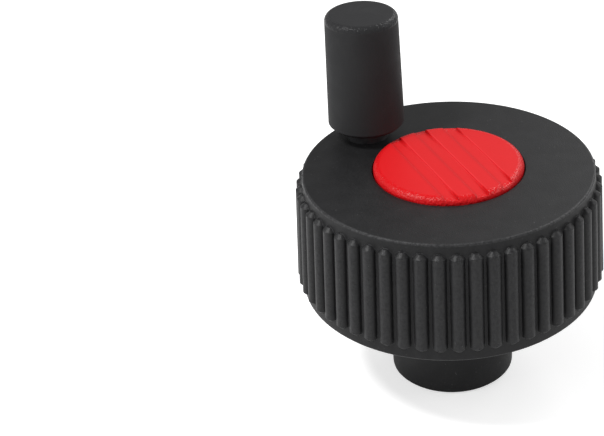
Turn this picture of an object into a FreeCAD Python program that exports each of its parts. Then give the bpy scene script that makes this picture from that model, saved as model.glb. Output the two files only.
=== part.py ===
import FreeCAD, Part
import math
import os
import re

import Sketcher
from FreeCAD import Placement, Rotation, Vector

# A small handwheel: a moulded wheel with a knurled rim, a metal bush in its hub, a snap-in cap
# and a grip that revolves on a shouldered pin.
# The origin is the centre of the hub's end face, +Z runs up the bore to the wheel's face,
# and the grip stands on the +X side.

# Driving dimensions, in millimetres, degrees and counts.
sizes = {
    # hub and face
    "hub_length": 59.5,             # hub end to the wheel's face
    "hub_diameter": 32.4,           # at the hub's end
    "hub_taper": 1.0,               # draft of the hub, degrees
    "hub_end_bevel": 0.5,
    "collar_step": 2.65,            # radial, from the hub out to its thick root in the hollow
    "collar_reach": 0.65,           # how far the collar stands out past the rim's lower edge
    "collar_bevel": 0.5,
    "face_thickness": 3.2,
    # rim
    "rim_height": 32.35,
    "rim_draft": 2.5,               # degrees, the rim widens towards its lower edge
    "rim_wall": 2.4,
    "face_edge_round": 0.5,
    "rim_edge_bevel": 0.4,
    # knurl ribs
    "knurl_count": 54,
    "knurl_diameter": 80.0,         # over the ribs, at their lower ends
    "knurl_radius": 1.85,           # of one half-round rib
    "knurl_end_bevel": 1.0,         # 45 degrees, at a rib's two ends
    "knurl_sink": 0.25,             # rib centre line inside the rim's surface
    "knurl_top_margin": 2.6,        # wheel's face to a rib's upper end
    "knurl_low_margin": 2.85,       # rim's lower edge to a rib's lower end
    # radial webs in the hollow
    "web_count": 6,
    "web_thickness": 1.6,
    "web_recess": 1.2,              # inside the rim's lower edge
    "root_overlap": 0.6,            # how deep webs and the boss run into the walls they grow from
    # bush
    "bore_diameter": 12.0,
    "bore_chamfer": 0.6,
    "bush_wall": 3.7,
    "bush_lock_depth": 0.6,         # annular grooves that lock the bush in the moulding
    "bush_lock_width": 3.0,
    "bush_lock_margin": 9.0,        # bush end to the nearest groove
    # cap and the screw well under it
    "cap_share": 0.47875,           # cap's diameter, of the diameter over the ribs
    "cap_gap": 0.35,                # all round between the cap and its seat
    "cap_seat_depth": 1.6,
    "cap_rise": 1.75,               # cap's top above the wheel's face
    "cap_edge_round": 1.7,
    "cap_wall": 1.5,
    "cap_ledge": 4.15,              # radial, the seat's rim that the cap lies on
    "well_depth": 10.0,
    "cap_finger_gap": 0.1,
    "cap_finger_wall": 1.4,
    "cap_finger_depth": 6.0,        # below the cap's seat
    "cap_finger_count": 6,
    "cap_slot_width": 4.0,          # between two fingers
    "cap_hook_depth": 0.45,
    "cap_hook_height": 1.6,
    # slanted grooves on the cap
    "relief_turn": 156.0,           # direction of the grooves from the grip's side, degrees
    "relief_shift": -1.4,           # middle groove's first side from the cap's centre
    "relief_spacing": 7.7,
    "relief_width": 3.4,
    "relief_middle_depth": 0.12,
    "relief_end_depth": 0.8,        # at the cap's edge: a groove's floor is bowed
    # grip and its pin
    "grip_place_share": 0.3525,     # bore axis to the grip's axis, of the diameter over the ribs
    "grip_base_diameter": 20.0,
    "grip_top_diameter": 18.7,
    "grip_length": 30.9,
    "grip_top_round": 1.6,
    "grip_base_bevel": 0.9,
    "grip_roof": 4.6,               # solid top of the grip above its blind bore
    "grip_clearance": 0.05,         # radial, between the pin and the grip's bore
    "grip_end_play": 0.1,           # between the pin's collar and the grip
    "pin_diameter": 8.0,
    "pin_chamfer": 0.6,
    "pin_top_gap": 0.8,             # pin's end to the end of the blind bore
    "pin_collar_diameter": 11.3,
    "pin_collar_height": 3.5,
    "pin_collar_chamfer": 0.4,
    "thread_diameter": 6.0,
    "thread_gap": 0.05,             # radial, between the pin's thread and the insert
    "thread_length": 11.0,
    "thread_chamfer": 0.6,
    "hex_key": 3.0,                 # across flats, in the pin's threaded end
    "hex_key_depth": 3.5,
    # split ring that keeps the grip on the pin
    "ring_drop": 3.4,               # pin's end to the ring's groove
    "ring_height": 1.2,
    "ring_wall": 1.3,               # radial
    "ring_bite": 0.75,              # how far the ring stands out of the pin
    "ring_gap": 0.15,               # round the ring, in both grooves
    "ring_slit": 2.4,
    # threaded insert and its boss in the hollow
    "insert_diameter": 8.0,
    "insert_length": 12.0,
    "insert_lock_depth": 0.5,
    "insert_lock_width": 2.0,
    "insert_lock_margin": 2.0,
    "boss_diameter": 12.6,
    "boss_floor": 2.0,              # boss below the insert
}

doc = FreeCAD.newDocument("knurled_wheel")
sheet = doc.addObject("Spreadsheet::Sheet", "sizes")
for row, (alias, value) in enumerate(sizes.items(), start=1):
    sheet.set(f"A{row}", str(value))
    sheet.setAlias(f"A{row}", alias)
doc.recompute()

# Heights and radii that several pieces share, as formulas of the sheet. The cap and the grip's place
# follow the wheel's diameter, as they do from one wheel of the family to the next.
face_z = "hub_length"
rim_z = "(hub_length - rim_height)"
knurl_z = "(hub_length - rim_height + knurl_low_margin)"
knurl_r = "(knurl_diameter / 2 - knurl_radius)"
rim_low_r = f"({knurl_r} + knurl_sink / cos(rim_draft) + knurl_low_margin * tan(rim_draft))"
rim_top_r = f"({rim_low_r} - rim_height * tan(rim_draft))"
collar_z = f"({rim_z} - collar_reach)"
hub_r = "(hub_diameter / 2)"
collar_root_r = f"({hub_r} + {collar_z} * tan(hub_taper))"
collar_r = f"({collar_root_r} + collar_step)"
floor_z = "(hub_length - face_thickness)"
seat_z = "(hub_length - cap_seat_depth)"
cap_r = "(knurl_diameter * cap_share / 2)"
seat_r = f"({cap_r} + cap_gap)"
step_r = f"({seat_r} + face_thickness)"
step_z = f"({seat_z} - face_thickness)"
well_z = "(hub_length - well_depth)"
web_z = f"({rim_z} + web_recess)"
bush_r = "(bore_diameter / 2 + bush_wall)"
bush_groove_r = f"({bush_r} - bush_lock_depth)"
insert_z = "(hub_length - insert_length)"
insert_r = "(insert_diameter / 2)"
insert_groove_r = f"({insert_r} - insert_lock_depth)"
boss_z = f"({insert_z} - boss_floor)"
thread_hole_r = "(thread_diameter / 2)"
well_r = f"({cap_r} - cap_ledge)"
finger_r = f"({well_r} - cap_finger_gap)"
finger_z = f"({seat_z} - cap_finger_depth)"
collar_top_z = "(hub_length + pin_collar_height)"
grip_x = "(knurl_diameter * grip_place_share)"
grip_z = f"({collar_top_z} + grip_end_play)"
grip_top_z = f"({grip_z} + grip_length)"
grip_bore_top_z = f"({grip_top_z} - grip_roof)"
pin_r = "(pin_diameter / 2)"
pin_top_z = f"({grip_bore_top_z} - pin_top_gap)"
ring_low_z = f"({pin_top_z} - ring_drop)"
ring_top_z = f"({ring_low_z} + ring_height)"
ring_out_r = f"({pin_r} + ring_bite)"
ring_in_r = f"({ring_out_r} - ring_wall)"


def formula(text):
    """Point each size named in the text at its cell of the sheet."""
    def cell(word):
        name = word.group()
        return "sizes." + name if name in sizes else name
    return re.sub(r"[a-z_]+", cell, text)


def new_body(label):
    body = doc.addObject("PartDesign::Body", label)
    body.Label = label
    return body


def sketch_on(body, name, role="XZ_Plane"):
    """An empty sketch on one of the body's origin planes. On XZ its own x and y are X and Z."""
    sketch = body.newObject("Sketcher::SketchObject", name)
    plane = [feature for feature in body.Origin.OriginFeatures if feature.Role == role][0]
    sketch.AttachmentSupport = [(plane, "")]
    sketch.MapMode = "FlatFace"
    return sketch


def drive(sketch, constraint, text):
    """Add a constraint whose value follows a formula."""
    index = sketch.addConstraint(constraint)
    sketch.setExpression(f"Constraints[{index}]", formula(text))


def polygon(sketch, points):
    """A closed outline with a formula for each corner's two coordinates, "0" meaning on the axis."""
    count = len(points)
    start = [Vector(20 + index, 20 + (index * index) % 17, 0) for index in range(count)]
    for index in range(count):
        sketch.addGeometry(Part.LineSegment(start[index], start[(index + 1) % count]))
    for index in range(count):
        sketch.addConstraint(Sketcher.Constraint("Coincident", index, 2, (index + 1) % count, 1))
    for index, (across, up) in enumerate(points):
        if across == "0":
            sketch.addConstraint(Sketcher.Constraint("PointOnObject", index, 1, -2))
        else:
            drive(sketch, Sketcher.Constraint("DistanceX", -1, 1, index, 1, start[index].x), across)
        if up == "0":
            sketch.addConstraint(Sketcher.Constraint("PointOnObject", index, 1, -1))
        else:
            drive(sketch, Sketcher.Constraint("DistanceY", -1, 1, index, 1, start[index].y), up)
    doc.recompute()


def circle(sketch, radius, centre_x="0"):
    """A circle on the sketch's horizontal axis."""
    index = sketch.addGeometry(Part.Circle(Vector(1, 0, 0), Vector(0, 0, 1), 1))
    sketch.addConstraint(Sketcher.Constraint("PointOnObject", index, 3, -1))
    if centre_x == "0":
        sketch.addConstraint(Sketcher.Constraint("PointOnObject", index, 3, -2))
    else:
        drive(sketch, Sketcher.Constraint("DistanceX", -1, 1, index, 3, 1), centre_x)
    drive(sketch, Sketcher.Constraint("Radius", index, 1), radius)


def rectangle(sketch, x_low, x_high, width):
    """A rectangle from x_low to x_high, centred on the sketch's horizontal axis."""
    half = f"({width}) / 2"
    polygon(sketch, [(x_low, f"-{half}"), (x_high, f"-{half}"), (x_high, half), (x_low, half)])


def raise_to(sketch, height):
    """Lift a sketch off its plane to a height given as a formula."""
    sketch.setExpression("AttachmentOffset.Base.z", formula(height))


def turn(body, name, sketch, kind="PartDesign::Revolution", angle=360):
    """Sweep a sketch about its own vertical axis, to add or, as a Groove, to cut."""
    feature = body.newObject(kind, name)
    feature.Profile = sketch
    feature.ReferenceAxis = (sketch, ["V_Axis"])
    feature.Angle = angle
    doc.recompute()
    return feature


def revolve(body, name, points):
    sketch = sketch_on(body, name + "_outline")
    polygon(sketch, points)
    return turn(body, name, sketch)


def pad(body, name, sketch, length):
    feature = body.newObject("PartDesign::Pad", name)
    feature.Profile = sketch
    feature.setExpression("Length", formula(length))
    doc.recompute()
    return feature


def pocket(body, name, sketch, depth, upwards=False):
    """Cut from a sketch against its normal, or along it."""
    feature = body.newObject("PartDesign::Pocket", name)
    feature.Profile = sketch
    feature.Reversed = upwards
    feature.setExpression("Length", formula(depth))
    doc.recompute()
    return feature


def polar(body, name, originals, count):
    """Repeat features round the body's vertical axis."""
    axis = [feature for feature in body.Origin.OriginFeatures if feature.Role == "Z_Axis"][0]
    pattern = body.newObject("PartDesign::PolarPattern", name)
    pattern.Originals = originals
    pattern.Axis = (axis, [""])
    pattern.Angle = 360
    pattern.setExpression("Occurrences", formula(count))
    body.Tip = pattern
    doc.recompute()
    return pattern


def rings(shape, height, tolerance=0.01):
    """Names of the round edges at one height, smallest first."""
    found = []
    for number, edge in enumerate(shape.Edges, start=1):
        box = edge.BoundBox
        if box.ZLength < tolerance and abs(box.ZMin - height) < tolerance and "Circle" in str(edge.Curve):
            found.append((edge.Curve.Radius, f"Edge{number}"))
    return [name for radius, name in sorted(found)]


def round_edges(body, name, base, edges, radius):
    feature = body.newObject("PartDesign::Fillet", name)
    feature.Base = (base, edges)
    feature.setExpression("Radius", formula(radius))
    doc.recompute()
    return feature


def bevel_edges(body, name, base, edges, size):
    feature = body.newObject("PartDesign::Chamfer", name)
    feature.Base = (base, edges)
    feature.setExpression("Size", formula(size))
    doc.recompute()
    return feature


def stand_at_grip(piece):
    """Move a piece that was made on the bore axis out to the grip's axis."""
    piece.setExpression("Placement.Base.x", formula(grip_x))


def lock_grooves(radius, groove_radius, low_z, high_z, margin, width):
    """Corners down a moulded-in metal piece's side, from top to bottom, with a groove near each end."""
    grooves = [(f"({high_z} - {margin})", f"({high_z} - {margin} - {width})"),
               (f"({low_z} + {margin} + {width})", f"({low_z} + {margin})")]
    corners = []
    for groove_top, groove_bottom in grooves:
        corners += [(radius, groove_top), (groove_radius, groove_top), (groove_radius, groove_bottom),
                    (radius, groove_bottom)]
    return corners


# Wheel: rim, face, stepped hub and screw well, turned about the bore axis
wheel = new_body("wheel")
bush_side = lock_grooves(bush_r, bush_groove_r, "0", well_z, "bush_lock_margin", "bush_lock_width")
wheel_section = revolve(wheel, "section", [
    (bush_r, "0"),
    (hub_r, "0"),
    (collar_root_r, collar_z),
    (collar_r, collar_z),
    (collar_r, step_z),
    (step_r, step_z),
    (step_r, floor_z),
    (f"{rim_top_r} - rim_wall + face_thickness * tan(rim_draft)", floor_z),
    (f"{rim_low_r} - rim_wall", rim_z),
    (rim_low_r, rim_z),
    (rim_top_r, face_z),
    (seat_r, face_z),
    (seat_r, seat_z),
    (well_r, seat_z),
    (well_r, f"{finger_z} + cap_hook_height"),
    (f"{well_r} + cap_hook_depth", f"{finger_z} + cap_hook_height / 2"),
    (well_r, finger_z),
    (well_r, well_z),
    (bush_r, well_z),
] + bush_side)
rim_low_height = sheet.hub_length - sheet.rim_height
collar_low_height = rim_low_height - sheet.collar_reach
face_edge = rings(wheel_section.Shape, sheet.hub_length)[-1:]
wheel_face = round_edges(wheel, "face_edge", wheel_section, face_edge, "face_edge_round")
rim_edges = rings(wheel_face.Shape, rim_low_height)[-2:]
wheel_rim = bevel_edges(wheel, "rim_edges", wheel_face, rim_edges, "rim_edge_bevel")
hub_edge = rings(wheel_rim.Shape, 0)[-1:]
wheel_hub = bevel_edges(wheel, "hub_end", wheel_rim, hub_edge, "hub_end_bevel")
collar_edge = rings(wheel_hub.Shape, collar_low_height)[-1:]
bevel_edges(wheel, "collar_edge", wheel_hub, collar_edge, "collar_bevel")

# Radial webs between the collar and the rim
web_sketch = sketch_on(wheel, "web_outline", "XY_Plane")
web_in_r = f"{collar_r} - root_overlap"
web_out_r = f"{rim_low_r} - rim_wall + root_overlap"
rectangle(web_sketch, web_in_r, web_out_r, "web_thickness")
raise_to(web_sketch, web_z)
web = pad(wheel, "web", web_sketch, f"{floor_z} - {web_z} + root_overlap")
polar(wheel, "webs", [web], "web_count")

# Boss for the grip's threaded insert, and the stepped hole that holds the insert
boss_sketch = sketch_on(wheel, "boss_outline", "XY_Plane")
circle(boss_sketch, "boss_diameter / 2", grip_x)
raise_to(boss_sketch, boss_z)
pad(wheel, "boss", boss_sketch, f"{floor_z} - {boss_z} + root_overlap")
insert_side = lock_grooves(insert_r, insert_groove_r, insert_z, face_z, "insert_lock_margin",
                           "insert_lock_width")
hole_sketch = sketch_on(wheel, "insert_hole_outline")
polygon(hole_sketch, [
    ("0", face_z),
    (insert_r, face_z),
] + insert_side + [
    (insert_r, insert_z),
    (thread_hole_r, insert_z),
    (thread_hole_r, rim_z),
    ("0", rim_z),
])
hole_sketch.setExpression("AttachmentOffset.Base.x", formula(grip_x))
turn(wheel, "insert_hole", hole_sketch, "PartDesign::Groove")

# Knurl: half of a bevelled round bar, turned about its own leaning centre line and then repeated. Its
# outline lies on the -Y side, so half a turn takes it round the outside, and its flat back lies
# inside the rim.
rib_sketch = sketch_on(wheel, "rib_outline", "YZ_Plane")
rib_length = "(rim_height - knurl_low_margin - knurl_top_margin) / cos(rim_draft)"
polygon(rib_sketch, [
    ("0", "0"),
    ("-(knurl_radius - knurl_end_bevel)", "0"),
    ("-knurl_radius", "knurl_end_bevel"),
    ("-knurl_radius", f"{rib_length} - knurl_end_bevel"),
    ("-(knurl_radius - knurl_end_bevel)", rib_length),
    ("0", rib_length),
])
rib_sketch.AttachmentOffset = Placement(Vector(), Rotation(Vector(-1, 0, 0), sizes["rim_draft"]))
rib_sketch.setExpression("AttachmentOffset.Rotation.Angle", formula("rim_draft"))
rib_sketch.setExpression("AttachmentOffset.Base.y", formula(knurl_z))
rib_sketch.setExpression("AttachmentOffset.Base.z", formula(knurl_r))
rib = turn(wheel, "rib", rib_sketch, angle=180)
polar(wheel, "knurl", [rib], "knurl_count")

# Metal bush, with the smooth bore that the shaft goes into
hub_bush = new_body("hub_bush")
bush_section = revolve(hub_bush, "section", [
    ("bore_diameter / 2", "0"),
    ("bore_diameter / 2", well_z),
    (bush_r, well_z),
] + bush_side + [
    (bush_r, "0"),
])
bush_low = bevel_edges(hub_bush, "bore_low", bush_section, rings(bush_section.Shape, 0)[:1], "bore_chamfer")
well_height = sheet.hub_length - sheet.well_depth
bevel_edges(hub_bush, "bore_top", bush_low, rings(bush_low.Shape, well_height)[:1], "bore_chamfer")

# Cap: a dished cover with a ring of snap fingers that reach into the well
cap = new_body("cap")
cap_top_z = "(hub_length + cap_rise)"
cap_under_z = f"({cap_top_z} - cap_wall)"
finger_in_r = f"({finger_r} - cap_finger_wall)"
cap_section = revolve(cap, "section", [
    ("0", cap_under_z),
    (finger_in_r, cap_under_z),
    (finger_in_r, finger_z),
    (finger_r, finger_z),
    (f"{finger_r} + cap_hook_depth", f"{finger_z} + cap_hook_height / 2"),
    (finger_r, f"{finger_z} + cap_hook_height"),
    (finger_r, cap_under_z),
    (f"{cap_r} - cap_wall", cap_under_z),
    (f"{cap_r} - cap_wall", seat_z),
    (cap_r, seat_z),
    (cap_r, cap_top_z),
    ("0", cap_top_z),
])
cap_top_height = sheet.hub_length + sheet.cap_rise
cap_edge = rings(cap_section.Shape, cap_top_height)[-1:]
round_edges(cap, "edge", cap_section, cap_edge, "cap_edge_round")
slot_sketch = sketch_on(cap, "slot_outline", "XY_Plane")
rectangle(slot_sketch, f"{finger_in_r} - cap_finger_wall", f"{finger_r} + cap_finger_wall", "cap_slot_width")
raise_to(slot_sketch, cap_under_z)
slot = pocket(cap, "slot", slot_sketch, f"{cap_under_z} - {finger_z}")
polar(cap, "slots", [slot], "cap_finger_count")


def relief_groove(number):
    """One slanted groove across the cap, with upright sides and a bowed floor."""
    along = Rotation(Vector(0, 0, 1), sheet.relief_turn)
    upright = Rotation(Vector(1, 0, 0), 90)
    offset = sheet.relief_shift + number * sheet.relief_spacing
    sketch = sketch_on(cap, f"relief_outline_{number + 1}", "XY_Plane")
    half, bow_radius = 19, 399  # a first guess for the solver, near the final outline
    spread = math.asin(half / bow_radius)
    bow_circle = Part.Circle(Vector(0, -bow_radius - 1, 0), Vector(0, 0, 1), bow_radius)
    arc = sketch.addGeometry(Part.ArcOfCircle(bow_circle, math.pi / 2 - spread, math.pi / 2 + spread))
    left = sketch.addGeometry(Part.LineSegment(Vector(-half, -1, 0), Vector(-half, 1, 0)))
    top = sketch.addGeometry(Part.LineSegment(Vector(-half, 1, 0), Vector(half, 1, 0)))
    right = sketch.addGeometry(Part.LineSegment(Vector(half, 1, 0), Vector(half, -1, 0)))
    sketch.addConstraint([
        Sketcher.Constraint("Coincident", arc, 2, left, 1),
        Sketcher.Constraint("Coincident", left, 2, top, 1),
        Sketcher.Constraint("Coincident", top, 2, right, 1),
        Sketcher.Constraint("Coincident", right, 2, arc, 1),
        Sketcher.Constraint("Vertical", left),
        Sketcher.Constraint("Vertical", right),
        Sketcher.Constraint("Horizontal", top),
        Sketcher.Constraint("PointOnObject", arc, 3, -2),
    ])
    bow = "(relief_end_depth - relief_middle_depth)"
    drive(sketch, Sketcher.Constraint("DistanceX", -1, 1, right, 1, half), cap_r)
    drive(sketch, Sketcher.Constraint("DistanceY", -1, 1, right, 1, 1), "cap_rise")
    drive(sketch, Sketcher.Constraint("DistanceY", -1, 1, right, 2, -1), "-relief_end_depth")
    drive(sketch, Sketcher.Constraint("Radius", arc, bow_radius), f"({cap_r} ^ 2 + {bow} ^ 2) / (2 * {bow})")
    corner = along.multVec(Vector(0, offset, cap_top_height))
    sketch.AttachmentOffset = Placement(corner, along.multiply(upright))
    return pocket(cap, f"relief_{number + 1}", sketch, "relief_width")


for number in (-1, 0, 1):
    relief_groove(number)

# Grip: a tapered sleeve with a blind bore and a groove for the ring
grip = new_body("grip")
bore_r = f"({pin_r} + grip_clearance)"
ring_room_r = f"({ring_out_r} + ring_gap)"
grip_section = revolve(grip, "section", [
    (bore_r, grip_z),
    ("grip_base_diameter / 2", grip_z),
    ("grip_top_diameter / 2", grip_top_z),
    ("0", grip_top_z),
    ("0", grip_bore_top_z),
    (bore_r, grip_bore_top_z),
    (bore_r, f"{ring_top_z} + ring_gap"),
    (ring_room_r, f"{ring_top_z} + ring_gap"),
    (ring_room_r, f"{ring_low_z} - ring_gap"),
    (bore_r, f"{ring_low_z} - ring_gap"),
])
grip_height = sheet.hub_length + sheet.pin_collar_height + sheet.grip_end_play
grip_top_height = grip_height + sheet.grip_length
top_edge = rings(grip_section.Shape, grip_top_height)[-1:]
grip_top = round_edges(grip, "top_edge", grip_section, top_edge, "grip_top_round")
base_edge = rings(grip_top.Shape, grip_height)[-1:]
bevel_edges(grip, "base_edge", grip_top, base_edge, "grip_base_bevel")
stand_at_grip(grip)

# Pin that the grip turns on: threaded end, collar, running length and ring groove
grip_axle = new_body("grip_axle")
ring_seat_r = f"({ring_in_r} - ring_gap)"
thread_r = f"({thread_hole_r} - thread_gap)"
thread_z = "(hub_length - thread_length)"
axle_section = revolve(grip_axle, "section", [
    ("0", thread_z),
    (thread_r, thread_z),
    (thread_r, face_z),
    ("pin_collar_diameter / 2", face_z),
    ("pin_collar_diameter / 2", collar_top_z),
    (pin_r, collar_top_z),
    (pin_r, f"{ring_low_z} - ring_gap"),
    (ring_seat_r, f"{ring_low_z} - ring_gap"),
    (ring_seat_r, f"{ring_top_z} + ring_gap"),
    (pin_r, f"{ring_top_z} + ring_gap"),
    (pin_r, pin_top_z),
    ("0", pin_top_z),
])
pin_top_height = grip_top_height - sheet.grip_roof - sheet.pin_top_gap
thread_height = sheet.hub_length - sheet.thread_length
collar_top_height = sheet.hub_length + sheet.pin_collar_height
pin_edge = rings(axle_section.Shape, pin_top_height)
axle_top = bevel_edges(grip_axle, "top_edge", axle_section, pin_edge, "pin_chamfer")
shoulder = rings(axle_top.Shape, collar_top_height)[-1:]
axle_collar = bevel_edges(grip_axle, "collar_edge", axle_top, shoulder, "pin_collar_chamfer")
thread_edge = rings(axle_collar.Shape, thread_height)
bevel_edges(grip_axle, "thread_edge", axle_collar, thread_edge, "thread_chamfer")
hex_sketch = sketch_on(grip_axle, "hex_outline", "XY_Plane")
hex_half = "(hex_key / 2)"
hex_corner = f"({hex_half} * tan(30))"
polygon(hex_sketch, [
    (f"2 * {hex_corner}", "0"),
    (hex_corner, hex_half),
    (f"-{hex_corner}", hex_half),
    (f"-2 * {hex_corner}", "0"),
    (f"-{hex_corner}", f"-{hex_half}"),
    (hex_corner, f"-{hex_half}"),
])
raise_to(hex_sketch, thread_z)
pocket(grip_axle, "hex_socket", hex_sketch, "hex_key_depth", upwards=True)
stand_at_grip(grip_axle)

# Brass insert, moulded into the boss, that the pin is screwed into
grip_insert = new_body("grip_insert")
revolve(grip_insert, "section", [
    (thread_hole_r, insert_z),
    (thread_hole_r, face_z),
    (insert_r, face_z),
] + insert_side + [
    (insert_r, insert_z),
])
stand_at_grip(grip_insert)

# Split ring in the pin's groove
ring_disc = doc.addObject("Part::Cylinder", "ring_disc")
ring_disc.setExpression("Radius", formula(ring_out_r))
ring_eye = doc.addObject("Part::Cylinder", "ring_eye")
ring_eye.setExpression("Radius", formula(ring_in_r))
for disc in (ring_disc, ring_eye):
    disc.setExpression("Height", formula("ring_height"))
ring_slit = doc.addObject("Part::Box", "ring_slit")
ring_slit.setExpression("Length", formula(ring_out_r))
ring_slit.setExpression("Width", formula("ring_slit"))
ring_slit.setExpression("Height", formula("ring_height"))
ring_slit.setExpression("Placement.Base.y", formula("-ring_slit / 2"))
whole_ring = doc.addObject("Part::Cut", "whole_ring")
whole_ring.Base = ring_disc
whole_ring.Tool = ring_eye
snap_ring = doc.addObject("Part::Cut", "snap_ring")
snap_ring.Base = whole_ring
snap_ring.Tool = ring_slit
snap_ring.Label = "snap_ring"
snap_ring.setExpression("Placement.Base.z", formula(ring_low_z))
stand_at_grip(snap_ring)

# Check every object before anything is written
doc.recompute()
for item in doc.Objects:
    if "Invalid" in item.State or "Error" in item.State:
        raise RuntimeError(f"{item.Name} failed: {item.State}")

os.makedirs("parts", exist_ok=True)
pieces = [wheel, hub_bush, cap, grip, grip_axle, grip_insert, snap_ring]
for piece in pieces:
    shape = piece.Shape
    if shape.isNull() or not shape.isValid() or len(shape.Solids) != 1:
        raise RuntimeError(f"{piece.Label} is not one valid solid")
for piece in pieces:
    piece.Shape.exportStep(f"parts/{piece.Label}.step")
    print(piece.Label, round(piece.Shape.Volume, 1), "mm3")
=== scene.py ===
import math

import bpy
from mathutils import Matrix, Vector

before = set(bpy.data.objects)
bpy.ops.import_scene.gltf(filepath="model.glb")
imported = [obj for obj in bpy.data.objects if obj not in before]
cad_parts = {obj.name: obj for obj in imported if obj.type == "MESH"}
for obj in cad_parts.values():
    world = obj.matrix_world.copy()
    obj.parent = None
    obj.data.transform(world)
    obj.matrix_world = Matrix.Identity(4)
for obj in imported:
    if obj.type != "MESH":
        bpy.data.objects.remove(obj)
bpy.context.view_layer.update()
print("frame loaded")

mm = 0.001  # sizes are given in millimetres, and Blender works in metres


# Helpers that every material uses.
def linear(hexColour):
    # an sRGB hex value as the linear colour that a shader takes
    channels = [int(hexColour[i:i + 2], 16) / 255 for i in (1, 3, 5)]
    return [c / 12.92 if c <= 0.04045 else ((c + 0.055) / 1.055) ** 2.4 for c in channels] + [1.0]


def addNode(tree, kind, inputs=None, **settings):
    # inputs gives a socket, by name or number, a value or another node's output
    node = tree.nodes.new("ShaderNode" + kind)
    for name, value in settings.items():
        setattr(node, name, value)
    for name, value in (inputs or {}).items():
        if isinstance(value, bpy.types.NodeSocket):
            tree.links.new(value, node.inputs[name])
        else:
            node.inputs[name].default_value = value
    return node


def newMaterial(name):
    material = bpy.data.materials.new(name)
    material.use_nodes = True
    material.node_tree.nodes.clear()
    return material, material.node_tree


def dress(partName, material):
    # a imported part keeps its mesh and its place, and only gets its finish
    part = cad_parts[partName]
    part.data.materials.clear()
    part.data.materials.append(material)


# Wheel: glass-filled polyamide 6, moulded in black. The outside of the mould was spark-eroded, which
# leaves a fine matt grain; its core was polished, so the hollow shines more. Fibres near the skin
# cloud it slightly, and hands polish the crests of the knurl and the edges. A paler colour there and
# on the rib tips is partly wear and partly a painted highlight; pale flecks paint the glint of fibre ends.
wheelLook = {
    "colour": "#19191a",
    "cloudColour": "#222223",
    # paler colour of wear, and a painted highlight, on crests, tips and edges
    "lighterColour": "#373738",
    "ior": 1.53,
    "shine": 0.22,            # the grain scatters more than half of the mirror light
    "roughOutside": 0.48,
    "roughHollow": 0.34,
    "roughWorn": 0.30,
    "roughSpread": 0.08,      # how much the fibres vary it
    "grainSize": 0.32,        # real pits are about 0.03 mm across; drawn coarser, so that they show
    "grainDepth": 0.045,
    "grainHollow": 0.25,      # share of that depth in the hollow
    "fibreSize": 0.7,         # bundles of fibres that show through the skin
    "fibreDepth": 0.24,
    "fibreShown": 0.03,       # share of that depth away from the edges
    "fleckSize": 0.55,        # bare fibre ends, paler than the skin; their pale colour also paints their glint
    "fleckFrom": 0.745,       # how high the noise is where one starts: higher means fewer
    "fleckStep": 0.06,        # from there to where it is full
    "fleckGlintColour": "#4c4c4d",
    "cloudSize": 5.0,
    "cloudFrom": (0.12, 0.40),   # noise between which the cloud sets in
    "edgeRound": 0.35,
    "edgeFrom": (0.995, 0.90),   # likeness of true and rounded normal, where an edge starts and is full
    "rimDraft": 2.5,          # degrees, as the rim leans
    "crestRadius": 40.0,      # over the ribs, at their lower ends
    "crestHeight": 30.0,
    "crestDepth": 1.0,        # the polish fades out this far below a crest
    # share of wear and of painted highlight on the crests
    "crestWearAndHighlight": 0.5,
    "faceEdge": (95.95, 96.25),  # radius and height together, which are highest on the face's round edge
    "ribTip": (94.2, 94.6),      # the same on the bevels at the ribs' upper ends
    # share of wear and of painted highlight on the rib tips
    "tipWearAndHighlight": 0.5,
    "patchFrom": (0.35, 0.60),   # wear follows the fibres between these values of their noise
    "patchLeast": 0.25,
    "ribSide": (39.85, 40.1),    # radius down the draft, from the rim's wall out to a rib
    "hollowRadius": 36.4,     # inside of the rim, at the rim's lower edge
    "rimEdgeHeight": 27.15,
    "floorHeight": 56.5,
}


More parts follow.
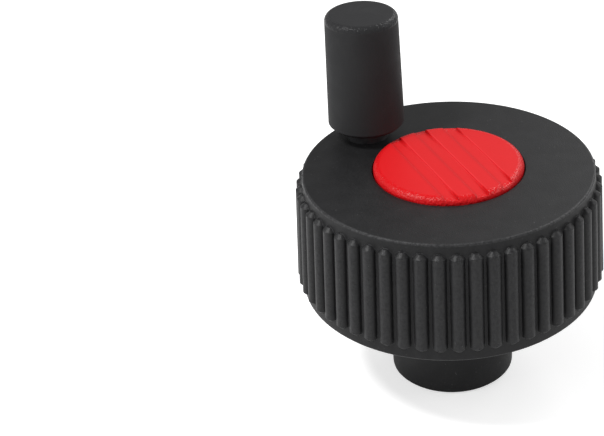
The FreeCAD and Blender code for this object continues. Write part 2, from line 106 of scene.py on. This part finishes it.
def wheelMaterial(look):
    material, tree = newMaterial("glassFilledPolyamideBlack")
    place = addNode(tree, "TexCoord").outputs["Object"]
    height = addNode(tree, "SeparateXYZ", {0: place}).outputs["Z"]
    flat = addNode(tree, "VectorMath", {0: place, 1: (1, 1, 0)}, operation="MULTIPLY").outputs[0]
    radius = addNode(tree, "VectorMath", {0: flat}, operation="LENGTH").outputs["Value"]
    lean = math.tan(math.radians(look["rimDraft"]))

    # radius measured down the rim's draft, so that one number tells crest, valley and hollow apart
    leaning = addNode(tree, "Math", {0: height, 1: lean, 2: radius}, operation="MULTIPLY_ADD").outputs[0]
    crestAt = look["crestRadius"] * mm + look["crestHeight"] * mm * lean
    crest = addNode(tree, "MapRange", {
        "Value": leaning,
        "From Min": crestAt - look["crestDepth"] * mm,
        "From Max": crestAt,
    }, interpolation_type="SMOOTHSTEP").outputs[0]
    together = addNode(tree, "Math", {0: height, 1: radius}, operation="ADD").outputs[0]
    faceEdge = addNode(tree, "MapRange", {
        "Value": together, "From Min": look["faceEdge"][0] * mm, "From Max": look["faceEdge"][1] * mm,
    }, interpolation_type="SMOOTHSTEP").outputs[0]
    highUp = addNode(tree, "MapRange", {
        "Value": together, "From Min": look["ribTip"][0] * mm, "From Max": look["ribTip"][1] * mm,
    }, interpolation_type="SMOOTHSTEP").outputs[0]
    onRib = addNode(tree, "MapRange", {
        "Value": leaning, "From Min": look["ribSide"][0] * mm, "From Max": look["ribSide"][1] * mm,
    }, interpolation_type="SMOOTHSTEP").outputs[0]
    # the rib tips and the face's round edge are painted lighter: partly wear, partly a painted highlight
    tipWearAndHighlight = addNode(tree, "Math", {0: highUp, 1: look["tipWearAndHighlight"]}, operation="MULTIPLY").outputs[0]
    ribTip = addNode(tree, "Math", {0: tipWearAndHighlight, 1: onRib}, operation="MULTIPLY").outputs[0]
    handledAndHighlit = addNode(tree, "Math", {0: faceEdge, 1: ribTip}, operation="MAXIMUM").outputs[0]
    hollowAt = look["hollowRadius"] * mm + look["rimEdgeHeight"] * mm * lean
    within = addNode(tree, "Math", {0: leaning, 1: hollowAt}, operation="LESS_THAN").outputs[0]
    aboveEdge = addNode(tree, "Math", {
        0: height, 1: look["rimEdgeHeight"] * mm,
    }, operation="GREATER_THAN").outputs[0]
    belowFloor = addNode(tree, "Math", {
        0: height, 1: look["floorHeight"] * mm,
    }, operation="LESS_THAN").outputs[0]
    inside = addNode(tree, "Math", {0: within, 1: aboveEdge}, operation="MULTIPLY").outputs[0]
    hollow = addNode(tree, "Math", {0: inside, 1: belowFloor}, operation="MULTIPLY").outputs[0]

    # edges, found where a rounded normal leaves the true one
    trueNormal = addNode(tree, "NewGeometry").outputs["Normal"]
    roundNormal = addNode(tree, "Bevel", {"Radius": look["edgeRound"] * mm}, samples=6).outputs[0]
    likeness = addNode(tree, "VectorMath", {
        0: trueNormal, 1: roundNormal,
    }, operation="DOT_PRODUCT").outputs["Value"]
    edge = addNode(tree, "MapRange", {
        "Value": likeness, "From Min": look["edgeFrom"][0], "From Max": look["edgeFrom"][1],
    }).outputs[0]

    fibre = addNode(tree, "TexNoise", {
        "Vector": place, "Scale": 1 / (look["fibreSize"] * mm), "Detail": 3.0, "Roughness": 0.6,
    }).outputs[0]
    cloud = addNode(tree, "TexNoise", {
        "Vector": place,
        "Scale": 1 / (look["cloudSize"] * mm),
        "Detail": 4.0,
        "Roughness": 0.55,
        "Distortion": 0.4,
    }).outputs[0]
    grain = addNode(tree, "TexNoise", {
        "Vector": place, "Scale": 1 / (look["grainSize"] * mm), "Detail": 2.0, "Roughness": 0.5,
    }).outputs[0]

    # painted glint: pale flecks, where bare fibre ends lie in the skin
    speckle = addNode(tree, "TexNoise", {
        "Vector": place, "Scale": 1 / (look["fleckSize"] * mm), "Detail": 1.0,
    }).outputs[0]
    fleckGlint = addNode(tree, "MapRange", {
        "Value": speckle,
        "From Min": look["fleckFrom"],
        "From Max": look["fleckFrom"] + look["fleckStep"],
    }, interpolation_type="SMOOTHSTEP").outputs[0]

    # wear and painted highlight together: crests, tips and edges come out paler and smoother
    rubbed = addNode(tree, "Math", {0: crest, 1: look["crestWearAndHighlight"]}, operation="MULTIPLY").outputs[0]
    edges = addNode(tree, "Math", {0: handledAndHighlit, 1: edge}, operation="MAXIMUM").outputs[0]
    touchedAndHighlit = addNode(tree, "Math", {0: rubbed, 1: edges}, operation="MAXIMUM").outputs[0]
    uneven = addNode(tree, "MapRange", {
        "Value": fibre,
        "From Min": look["patchFrom"][0],
        "From Max": look["patchFrom"][1],
        "To Min": look["patchLeast"],
    }).outputs[0]
    wornAndHighlit = addNode(tree, "Math", {0: touchedAndHighlit, 1: uneven}, operation="MULTIPLY").outputs[0]

    veil = addNode(tree, "Math", {0: cloud, 1: fibre}, operation="MULTIPLY").outputs[0]
    patchy = addNode(tree, "MapRange", {
        "Value": veil, "From Min": look["cloudFrom"][0], "From Max": look["cloudFrom"][1],
    }).outputs[0]
    skin = addNode(tree, "Mix", {
        0: patchy, 6: linear(look["colour"]), 7: linear(look["cloudColour"]),
    }, data_type="RGBA").outputs[2]
    flecked = addNode(tree, "Mix", {
        0: fleckGlint, 6: skin, 7: linear(look["fleckGlintColour"]),
    }, data_type="RGBA").outputs[2]
    # painted highlight, partly wear: the paler colour on crests, tips and edges
    colour = addNode(tree, "Mix", {
        0: wornAndHighlit, 6: flecked, 7: linear(look["lighterColour"]),
    }, data_type="RGBA").outputs[2]

    byTool = addNode(tree, "Mix", {0: hollow, 2: look["roughOutside"], 3: look["roughHollow"]}).outputs[0]
    byHand = addNode(tree, "Mix", {0: wornAndHighlit, 2: byTool, 3: look["roughWorn"]}).outputs[0]
    spread = addNode(tree, "MapRange", {
        "Value": fibre, "To Min": -look["roughSpread"], "To Max": look["roughSpread"],
    }).outputs[0]
    rough = addNode(tree, "Math", {0: byHand, 1: spread}, operation="ADD").outputs[0]

    depth = addNode(tree, "Mix", {0: hollow, 2: 1.0, 3: look["grainHollow"]}).outputs[0]
    bareFibre = addNode(tree, "Mix", {0: edges, 2: look["fibreShown"], 3: 1.0}).outputs[0]
    bundled = addNode(tree, "Bump", {
        "Height": fibre, "Strength": bareFibre, "Distance": look["fibreDepth"] * mm, "Normal": roundNormal,
    }).outputs[0]
    bumpy = addNode(tree, "Bump", {
        "Height": grain, "Strength": depth, "Distance": look["grainDepth"] * mm, "Normal": bundled,
    }).outputs[0]
    plastic = addNode(tree, "BsdfPrincipled", {
        "Base Color": colour,
        "Roughness": rough,
        "IOR": look["ior"],
        "Specular IOR Level": look["shine"],
        "Normal": bumpy,
    })
    addNode(tree, "OutputMaterial", {"Surface": plastic.outputs[0]})
    return material


dress("wheel", wheelMaterial(wheelLook))
print("wheel done")


# Grip: unfilled polyamide, moulded in black. A finer grain than the wheel's and no fibres, so light
# runs down it as one soft band.
gripLook = {
    "colour": "#2d2d2e",
    "lighterColour": "#303031",
    "ior": 1.53,
    "shine": 0.10,            # the grain scatters most of the mirror light
    "rough": 0.60,
    "roughWorn": 0.48,
    "roughEdge": 0.22,
    "roughSpread": 0.05,
    "grainSize": 0.28,        # drawn coarser than the real 0.02 mm, so that it shows
    "grainDepth": 0.03,
    "ripple": 0.7,            # unevenness of the skin, which breaks up the light on the top edge
    "rippleDepth": 0.30,
    "rippleShown": 0.03,      # share of that depth elsewhere
    "smearSize": 6.0,         # patches that fingers polish
    "smearFrom": (0.45, 0.75),   # noise between which a smear sets in
    "smearMost": 0.5,
    "edgeRound": 0.3,
    "edgeFrom": (0.995, 0.90),   # likeness of true and rounded normal, where an edge starts and is full
    "topEdge": (92.3, 94.0),  # heights between which the rounded top edge is polished by the hand
    "topFade": 0.3,           # the polish sets in this far to both sides of the lower height
    "faceFade": (0.10, 0.02),    # and runs out between these depths below the top face
}


def gripMaterial(look):
    material, tree = newMaterial("polyamideBlack")
    place = addNode(tree, "TexCoord").outputs["Object"]
    trueNormal = addNode(tree, "NewGeometry").outputs["Normal"]
    roundNormal = addNode(tree, "Bevel", {"Radius": look["edgeRound"] * mm}, samples=6).outputs[0]
    likeness = addNode(tree, "VectorMath", {
        0: trueNormal, 1: roundNormal,
    }, operation="DOT_PRODUCT").outputs["Value"]
    edge = addNode(tree, "MapRange", {
        "Value": likeness, "From Min": look["edgeFrom"][0], "From Max": look["edgeFrom"][1],
    }).outputs[0]
    smear = addNode(tree, "TexNoise", {
        "Vector": place, "Scale": 1 / (look["smearSize"] * mm), "Detail": 3.0, "Distortion": 0.6,
    }).outputs[0]
    grain = addNode(tree, "TexNoise", {
        "Vector": place, "Scale": 1 / (look["grainSize"] * mm), "Detail": 2.0,
    }).outputs[0]
    rubbed = addNode(tree, "MapRange", {
        "Value": smear,
        "From Min": look["smearFrom"][0],
        "From Max": look["smearFrom"][1],
        "To Max": look["smearMost"],
    }, interpolation_type="SMOOTHSTEP").outputs[0]
    ripple = addNode(tree, "TexNoise", {
        "Vector": place, "Scale": 1 / (look["ripple"] * mm), "Detail": 2.0,
    }).outputs[0]
    height = addNode(tree, "SeparateXYZ", {0: place}).outputs["Z"]
    low, high = look["topEdge"]
    upper = addNode(tree, "MapRange", {
        "Value": height,
        "From Min": (low - look["topFade"]) * mm,
        "From Max": (low + look["topFade"]) * mm,
    }, interpolation_type="SMOOTHSTEP").outputs[0]
    belowFace = addNode(tree, "MapRange", {
        "Value": height,
        "From Min": (high - look["faceFade"][0]) * mm,
        "From Max": (high - look["faceFade"][1]) * mm,
        "To Min": 1.0,
        "To Max": 0.0,
    }).outputs[0]
    rounded = addNode(tree, "Math", {0: upper, 1: belowFace}, operation="MULTIPLY").outputs[0]
    edges = addNode(tree, "Math", {0: rounded, 1: edge}, operation="MAXIMUM").outputs[0]
    colour = addNode(tree, "Mix", {
        0: rubbed, 6: linear(look["colour"]), 7: linear(look["lighterColour"]),
    }, data_type="RGBA").outputs[2]
    inSmears = addNode(tree, "Mix", {0: rubbed, 2: look["rough"], 3: look["roughWorn"]}).outputs[0]
    byHand = addNode(tree, "Mix", {0: edges, 2: inSmears, 3: look["roughEdge"]}).outputs[0]
    spread = addNode(tree, "MapRange", {
        "Value": grain, "To Min": -look["roughSpread"], "To Max": look["roughSpread"],
    }).outputs[0]
    rough = addNode(tree, "Math", {0: byHand, 1: spread}, operation="ADD").outputs[0]
    rippleShare = addNode(tree, "Mix", {0: edges, 2: look["rippleShown"], 3: 1.0}).outputs[0]
    rippled = addNode(tree, "Bump", {
        "Height": ripple,
        "Strength": rippleShare,
        "Distance": look["rippleDepth"] * mm,
        "Normal": roundNormal,
    }).outputs[0]
    bumpy = addNode(tree, "Bump", {
        "Height": grain, "Distance": look["grainDepth"] * mm, "Normal": rippled,
    }).outputs[0]
    plastic = addNode(tree, "BsdfPrincipled", {
        "Base Color": colour,
        "Roughness": rough,
        "IOR": look["ior"],
        "Specular IOR Level": look["shine"],
        "Normal": bumpy,
    })
    addNode(tree, "OutputMaterial", {"Surface": plastic.outputs[0]})
    return material


dress("grip", gripMaterial(gripLook))
print("grip done")


# Cap: polyamide, moulded in signal red through and through. Matt grain all over, and a little light comes
# back out of the plastic. Painted shade darkens its creases; painted light pales each groove's second side.
capLook = {
    "colour": "#cc1318",
    "paleColour": "#d2171c",  # where the skin is thinner over the fillers
    # painted shade in the creases and along each groove's first side
    "creaseShadeColour": "#7a0c10",
    "paintedLightColour": "#dc272c",   # painted light: a paler red on the thin edge of each groove's second side
    "ior": 1.53,
    "shine": 0.19,            # the grain scatters most of the mirror light
    "rough": 0.46,
    "roughWorn": 0.27,
    "roughSpread": 0.06,
    "grainSize": 0.30,        # drawn coarser than the real 0.03 mm, so that it shows
    "grainDepth": 0.030,
    "ripple": 0.7,            # unevenness of the skin, which breaks up the light on the edge
    "rippleDepth": 0.30,
    "rippleShown": 0.03,      # share of that depth away from the edge
    "lip": (17.2, 17.9),      # radii between which the rounded edge sets in
    "mottleSize": 4.0,
    "edgeRound": 0.25,
    "creaseReach": 1.2,       # painted shade reaches this far out of the creases
    "creaseShadeFrom": (0.75, 0.35),    # openness where the painted shade starts and where it is darkest
    "creaseShadeMost": 0.4,
    "grooveTurn": 156.0,      # direction of the part's grooves, in degrees
    "grooveSide": -1.4,       # first side of the middle one, across the grooves from the wheel's axis
    "grooveSpacing": 7.7,
    "grooveReach": (-12.0, 10.0),  # all the grooves lie between these, measured the same way
    "grooveWidth": 3.4,
    "shadeReach": 1.1,        # painted shadow: the first side is darkened this far to both its sides
    "shadeDepth": 0.13,
    "softReach": 0.4,         # the other side runs out softly, except towards the cap's edge
    "softUntil": (13.0, 17.0),
    "softLevel": 0.5,         # how far its normal is turned up to that of the flat top
    "glow": 0.05,
    "glowDepth": 0.6,
}


def capMaterial(look):
    material, tree = newMaterial("polyamideRed")
    place = addNode(tree, "TexCoord").outputs["Object"]
    roundNormal = addNode(tree, "Bevel", {"Radius": look["edgeRound"] * mm}, samples=6).outputs[0]
    mottle = addNode(tree, "TexNoise", {
        "Vector": place, "Scale": 1 / (look["mottleSize"] * mm), "Detail": 4.0, "Roughness": 0.6,
    }).outputs[0]
    grain = addNode(tree, "TexNoise", {
        "Vector": place, "Scale": 1 / (look["grainSize"] * mm), "Detail": 2.0,
    }).outputs[0]
    # painted shade: darker where ambient occlusion finds the creases
    openness = addNode(tree, "AmbientOcclusion", {
        "Distance": look["creaseReach"] * mm,
    }, samples=8).outputs["AO"]
    creaseShade = addNode(tree, "MapRange", {
        "Value": openness,
        "From Min": look["creaseShadeFrom"][0],
        "From Max": look["creaseShadeFrom"][1],
        "To Max": look["creaseShadeMost"],
    }).outputs[0]

    # distance from a groove's first side, measured across the grooves and repeated with their spacing
    flat = addNode(tree, "VectorMath", {0: place, 1: (1, 1, 0)}, operation="MULTIPLY").outputs[0]
    radius = addNode(tree, "VectorMath", {0: flat}, operation="LENGTH").outputs["Value"]
    across = math.radians(look["grooveTurn"] + 90)
    over = addNode(tree, "VectorMath", {
        0: place, 1: (math.cos(across), math.sin(across), 0),
    }, operation="DOT_PRODUCT").outputs["Value"]
    fromSide = addNode(tree, "Math", {0: over, 1: look["grooveSide"] * mm}, operation="SUBTRACT").outputs[0]
    width, spacing = look["grooveWidth"], look["grooveSpacing"]
    beside = addNode(tree, "Math", {
        0: fromSide, 1: (width - spacing) * mm / 2, 2: (width + spacing) * mm / 2,
    }, operation="WRAP").outputs[0]
    fromFirst = addNode(tree, "Math", {0: beside}, operation="ABSOLUTE").outputs[0]
    beyond = addNode(tree, "Math", {0: beside, 1: width * mm}, operation="SUBTRACT").outputs[0]
    fromSecond = addNode(tree, "Math", {0: beyond}, operation="ABSOLUTE").outputs[0]
    # painted shadow: a darker band along each groove's first side
    line = addNode(tree, "MapRange", {
        "Value": fromFirst, "From Min": look["shadeReach"] * mm, "From Max": 0, "To Max": look["shadeDepth"],
    }, interpolation_type="SMOOTHSTEP").outputs[0]
    nearSecond = addNode(tree, "MapRange", {
        "Value": fromSecond, "From Min": look["softReach"] * mm, "From Max": look["softReach"] * mm / 2,
    }, interpolation_type="SMOOTHSTEP").outputs[0]
    inward = addNode(tree, "MapRange", {
        "Value": radius, "From Min": look["softUntil"][1] * mm, "From Max": look["softUntil"][0] * mm,
    }, interpolation_type="SMOOTHSTEP").outputs[0]
    afterFirst = addNode(tree, "Math", {
        0: over, 1: look["grooveReach"][0] * mm,
    }, operation="GREATER_THAN").outputs[0]
    beforeLast = addNode(tree, "Math", {
        0: over, 1: look["grooveReach"][1] * mm,
    }, operation="LESS_THAN").outputs[0]
    amongGrooves = addNode(tree, "Math", {0: afterFirst, 1: beforeLast}, operation="MULTIPLY").outputs[0]
    inGrooves = addNode(tree, "Math", {0: inward, 1: amongGrooves}, operation="MULTIPLY").outputs[0]
    softenedAndLit = addNode(tree, "Math", {0: nearSecond, 1: inGrooves}, operation="MULTIPLY").outputs[0]
    shade = addNode(tree, "Math", {0: line, 1: amongGrooves}, operation="MULTIPLY").outputs[0]
    # the painted shade of the creases is kept off each groove's second side and adds to the painted shadow
    notSoftened = addNode(tree, "Math", {0: 1.0, 1: softenedAndLit}, operation="SUBTRACT").outputs[0]
    keptCreaseShade = addNode(tree, "Math", {0: creaseShade, 1: notSoftened}, operation="MULTIPLY").outputs[0]
    crease = addNode(tree, "Math", {0: shade, 1: keptCreaseShade}, operation="ADD", use_clamp=True).outputs[0]
    turnedUp = addNode(tree, "Math", {0: softenedAndLit, 1: look["softLevel"]}, operation="MULTIPLY").outputs[0]
    softNormal = addNode(tree, "Mix", {
        0: turnedUp, 4: roundNormal, 5: (0, 0, 1),
    }, data_type="VECTOR").outputs[1]
    level = addNode(tree, "VectorMath", {0: softNormal}, operation="NORMALIZE").outputs[0]
    lip = addNode(tree, "MapRange", {
        "Value": radius, "From Min": look["lip"][0] * mm, "From Max": look["lip"][1] * mm,
    }, interpolation_type="SMOOTHSTEP").outputs[0]
    skin = addNode(tree, "Mix", {
        0: mottle, 6: linear(look["colour"]), 7: linear(look["paleColour"]),
    }, data_type="RGBA").outputs[2]
    # painted shade and shadow, mixed into the colour
    shadedSkin = addNode(tree, "Mix", {
        0: crease, 6: skin, 7: linear(look["creaseShadeColour"]),
    }, data_type="RGBA").outputs[2]
    # painted light: a paler red where each groove's second side runs out
    colour = addNode(tree, "Mix", {
        0: softenedAndLit, 6: shadedSkin, 7: linear(look["paintedLightColour"]),
    }, data_type="RGBA").outputs[2]
    byHand = addNode(tree, "Mix", {0: lip, 2: look["rough"], 3: look["roughWorn"]}).outputs[0]
    spread = addNode(tree, "MapRange", {
        "Value": grain, "To Min": -look["roughSpread"], "To Max": look["roughSpread"],
    }).outputs[0]
    rough = addNode(tree, "Math", {0: byHand, 1: spread}, operation="ADD").outputs[0]
    ripple = addNode(tree, "TexNoise", {
        "Vector": place, "Scale": 1 / (look["ripple"] * mm), "Detail": 2.0,
    }).outputs[0]
    rippleShare = addNode(tree, "Mix", {0: lip, 2: look["rippleShown"], 3: 1.0}).outputs[0]
    rippled = addNode(tree, "Bump", {
        "Height": ripple,
        "Strength": rippleShare,
        "Distance": look["rippleDepth"] * mm,
        "Normal": level,
    }).outputs[0]
    bumpy = addNode(tree, "Bump", {
        "Height": grain, "Distance": look["grainDepth"] * mm, "Normal": rippled,
    }).outputs[0]
    plastic = addNode(tree, "BsdfPrincipled", {
        "Base Color": colour,
        "Roughness": rough,
        "IOR": look["ior"],
        "Specular IOR Level": look["shine"],
        "Normal": bumpy,
        "Subsurface Weight": look["glow"],
        "Subsurface Radius": (1.0, 0.15, 0.1),
        "Subsurface Scale": look["glowDepth"] * mm,
    })
    addNode(tree, "OutputMaterial", {"Surface": plastic.outputs[0]})
    return material


dress("cap", capMaterial(capLook))
print("cap done")


# Metal pieces. The lathe's fine rings run round them and bend the light into short streaks across the
# end faces and along the bore. The snap ring is sprung wire, whose drawing lines run the same way.
stainFrom = (0.4, 0.75)   # noise between which a stain sets in
bushLook = {              # free-cutting steel, turned and zinc-plated: bright, slightly blue
    "name": "zincPlatedSteelTurned",
    "colour": "#c6c9cc",
    "stainColour": "#a9abad",
    "metallic": 1.0,
    "rough": 0.24,
    "roughStain": 0.38,
    "ringPitch": 0.25,    # real feed is about 0.08 mm; drawn coarser, so that it shows
    "ringDepth": 0.004,
    "stainSize": 3.0,
    "edgeRound": 0.1,
    "axis": (0, 0),       # of the lathe, in millimetres from the wheel's own axis
}
pinLook = {               # steel, turned and blackened in a hot oxide bath, then oiled
    "name": "blackOxideSteel",
    "colour": "#3a3a3c",
    "stainColour": "#4c4c4e",
    "metallic": 0.6,          # the oxide itself is no metal
    "rough": 0.40,
    "roughStain": 0.50,
    "ringPitch": 0.25,
    "ringDepth": 0.003,
    "stainSize": 2.0,
    "edgeRound": 0.15,
    "axis": (28.2, 0),
}
insertLook = {            # brass, turned, dulled by the moulding's heat
    "name": "brassTurned",
    "colour": "#c9a24a",
    "stainColour": "#9a7a38",
    "metallic": 1.0,
    "rough": 0.30,
    "roughStain": 0.45,
    "ringPitch": 0.2,
    "ringDepth": 0.003,
    "stainSize": 1.5,
    "edgeRound": 0.1,
    "axis": (28.2, 0),
}
ringLook = {              # spring steel, phosphated and oiled: dark grey
    "name": "springSteelPhosphated",
    "colour": "#4a4a4b",
    "stainColour": "#5a5a5a",
    "metallic": 0.9,
    "rough": 0.45,
    "roughStain": 0.55,
    "ringPitch": 0.15,
    "ringDepth": 0.002,
    "stainSize": 1.0,
    "edgeRound": 0.08,
    "axis": (28.2, 0),
}


def turnedMetal(look):
    material, tree = newMaterial(look["name"])
    place = addNode(tree, "TexCoord").outputs["Object"]
    axisAt = (look["axis"][0] * mm, look["axis"][1] * mm, 0)
    centred = addNode(tree, "VectorMath", {0: place, 1: axisAt}, operation="SUBTRACT").outputs[0]
    flat = addNode(tree, "VectorMath", {0: centred, 1: (1, 1, 0)}, operation="MULTIPLY").outputs[0]
    radius = addNode(tree, "VectorMath", {0: flat}, operation="LENGTH").outputs["Value"]
    height = addNode(tree, "SeparateXYZ", {0: place}).outputs["Z"]

    # the tool moves across an end face and along a side, so rings follow the sum of the two
    travel = addNode(tree, "Math", {0: radius, 1: height}, operation="ADD").outputs[0]
    turns = addNode(tree, "Math", {
        0: travel, 1: math.tau / (look["ringPitch"] * mm),
    }, operation="MULTIPLY").outputs[0]
    rings = addNode(tree, "Math", {0: turns}, operation="SINE").outputs[0]
    stain = addNode(tree, "TexNoise", {
        "Vector": place, "Scale": 1 / (look["stainSize"] * mm), "Detail": 4.0, "Roughness": 0.6,
    }).outputs[0]
    stained = addNode(tree, "MapRange", {
        "Value": stain, "From Min": stainFrom[0], "From Max": stainFrom[1],
    }).outputs[0]
    colour = addNode(tree, "Mix", {
        0: stained, 6: linear(look["colour"]), 7: linear(look["stainColour"]),
    }, data_type="RGBA").outputs[2]
    rough = addNode(tree, "Mix", {0: stained, 2: look["rough"], 3: look["roughStain"]}).outputs[0]
    roundNormal = addNode(tree, "Bevel", {"Radius": look["edgeRound"] * mm}, samples=6).outputs[0]
    bumpy = addNode(tree, "Bump", {
        "Height": rings, "Distance": look["ringDepth"] * mm, "Normal": roundNormal,
    }).outputs[0]
    metal = addNode(tree, "BsdfPrincipled", {
        "Base Color": colour, "Metallic": look["metallic"], "Roughness": rough, "Normal": bumpy,
    })
    addNode(tree, "OutputMaterial", {"Surface": metal.outputs[0]})
    return material


dress("hub_bush", turnedMetal(bushLook))
dress("grip_axle", turnedMetal(pinLook))
dress("grip_insert", turnedMetal(insertLook))
dress("snap_ring", turnedMetal(ringLook))
print("metal pieces done")


# Studio: a pale floor, a room that only the camera sees as white, and soft lamps.
studio = {
    "floorSize": 3000.0,
    "floorGap": 0.02,         # so that the floor and the hub's end aren't in one plane
    "floorColour": "#e6e6e6",
    "floorLift": 0.55,        # white added to what a camera sees of the floor
    "floorMirrored": 0.14,    # and to what a reflection sees of it
    "roomLight": 0.39,        # how strongly the room lights the object and shows in it
    "roomSeen": 1.0,
}
lamps = [
    # turn is the angle from the camera, seen from above; the rest are degrees, millimetres and watts
    {"name": "leftLamp", "turn": -70, "rise": 30, "distance": 700, "size": 400, "power": 1.3},
    {"name": "rightLamp", "turn": 95, "rise": 30, "distance": 700, "size": 400, "power": 1.35},
    {"name": "backLamp", "turn": 150, "rise": 35, "distance": 700, "size": 300, "power": 1.3},
    {"name": "overLamp", "turn": -58, "rise": 58, "distance": 700, "size": 120, "power": 3.0},
]
view = {
    "turn": 131.0,            # degrees from the grip's side round to the camera
    "rise": 30.515,
    "aimHeight": 49.806,      # the lens's axis crosses the wheel's axis at this height
    "distance": 377.252,
    "roll": -1.23,
    "lens": 87.72,            # on a sensor 36 mm wide
    "shift": (-0.2440, -0.0301),  # the object stands right of the photograph's middle
}


def around(turn, rise, distance):
    # a place round the wheel's axis, in metres
    flat = math.cos(math.radians(rise)) * distance * mm
    angle = math.radians(turn)
    height = math.sin(math.radians(rise)) * distance * mm
    return Vector((flat * math.cos(angle), flat * math.sin(angle), height))


def buildFloor():
    half = studio["floorSize"] * mm / 2
    mesh = bpy.data.meshes.new("floor")
    level = -studio["floorGap"] * mm
    corners = [(-half, -half, level), (half, -half, level), (half, half, level), (-half, half, level)]
    mesh.from_pydata(corners, [], [(0, 1, 2, 3)])
    floor = bpy.data.objects.new("floor", mesh)
    bpy.context.collection.objects.link(floor)
    material, tree = newMaterial("paleFloor")
    ray = addNode(tree, "LightPath").outputs
    mirrored = addNode(tree, "Math", {
        0: ray["Is Glossy Ray"], 1: studio["floorMirrored"],
    }, operation="MULTIPLY").outputs[0]
    lift = addNode(tree, "Math", {
        0: ray["Is Camera Ray"], 1: studio["floorLift"], 2: mirrored,
    }, operation="MULTIPLY_ADD").outputs[0]
    matt = addNode(tree, "BsdfDiffuse", {"Color": linear(studio["floorColour"])})
    glow = addNode(tree, "Emission", {"Color": (1, 1, 1, 1), "Strength": lift})
    both = addNode(tree, "AddShader", {0: matt.outputs[0], 1: glow.outputs[0]})

    # seen from below, the floor lets the underside show
    fromBelow = addNode(tree, "NewGeometry").outputs["Backfacing"]
    seeThrough = addNode(tree, "BsdfTransparent")
    oneSided = addNode(tree, "MixShader", {0: fromBelow, 1: both.outputs[0], 2: seeThrough.outputs[0]})
    addNode(tree, "OutputMaterial", {"Surface": oneSided.outputs[0]})
    mesh.materials.append(material)


def buildRoom():
    world = bpy.data.worlds.new("room")
    bpy.context.scene.world = world
    world.use_nodes = True
    tree = world.node_tree
    tree.nodes.clear()
    seen = addNode(tree, "LightPath").outputs["Is Camera Ray"]
    strength = addNode(tree, "Mix", {0: seen, 2: studio["roomLight"], 3: studio["roomSeen"]}).outputs[0]
    room = addNode(tree, "Background", {"Color": (1, 1, 1, 1), "Strength": strength})
    addNode(tree, "OutputWorld", {"Surface": room.outputs[0]})


def hangLamp(lamp):
    light = bpy.data.lights.new(lamp["name"], "AREA")
    light.shape = "DISK"
    light.size = lamp["size"] * mm
    light.energy = lamp["power"]
    aim = Vector((0, 0, view["aimHeight"] * mm))
    place = aim + around(view["turn"] + lamp["turn"], lamp["rise"], lamp["distance"])
    holder = bpy.data.objects.new(lamp["name"], light)
    holder.location = place
    holder.rotation_euler = (place - aim).to_track_quat("Z", "Y").to_euler()
    bpy.context.collection.objects.link(holder)


def setCamera():
    aim = Vector((0, 0, view["aimHeight"] * mm))
    place = aim + around(view["turn"], view["rise"], view["distance"])
    turned = (place - aim).to_track_quat("Z", "Y").to_matrix().to_4x4()
    camera = bpy.data.cameras.new("camera")
    camera.sensor_width = 36.0
    camera.lens = view["lens"]
    camera.shift_x, camera.shift_y = view["shift"]
    camera.clip_start = 0.01
    holder = bpy.data.objects.new("camera", camera)
    rolled = Matrix.Rotation(math.radians(view["roll"]), 4, "Z")
    holder.matrix_world = Matrix.Translation(place) @ turned @ rolled
    bpy.context.collection.objects.link(holder)
    bpy.context.scene.camera = holder


buildFloor()
buildRoom()
for lamp in lamps:
    hangLamp(lamp)
setCamera()
bpy.context.scene.view_settings.view_transform = "Standard"
print("studio done")
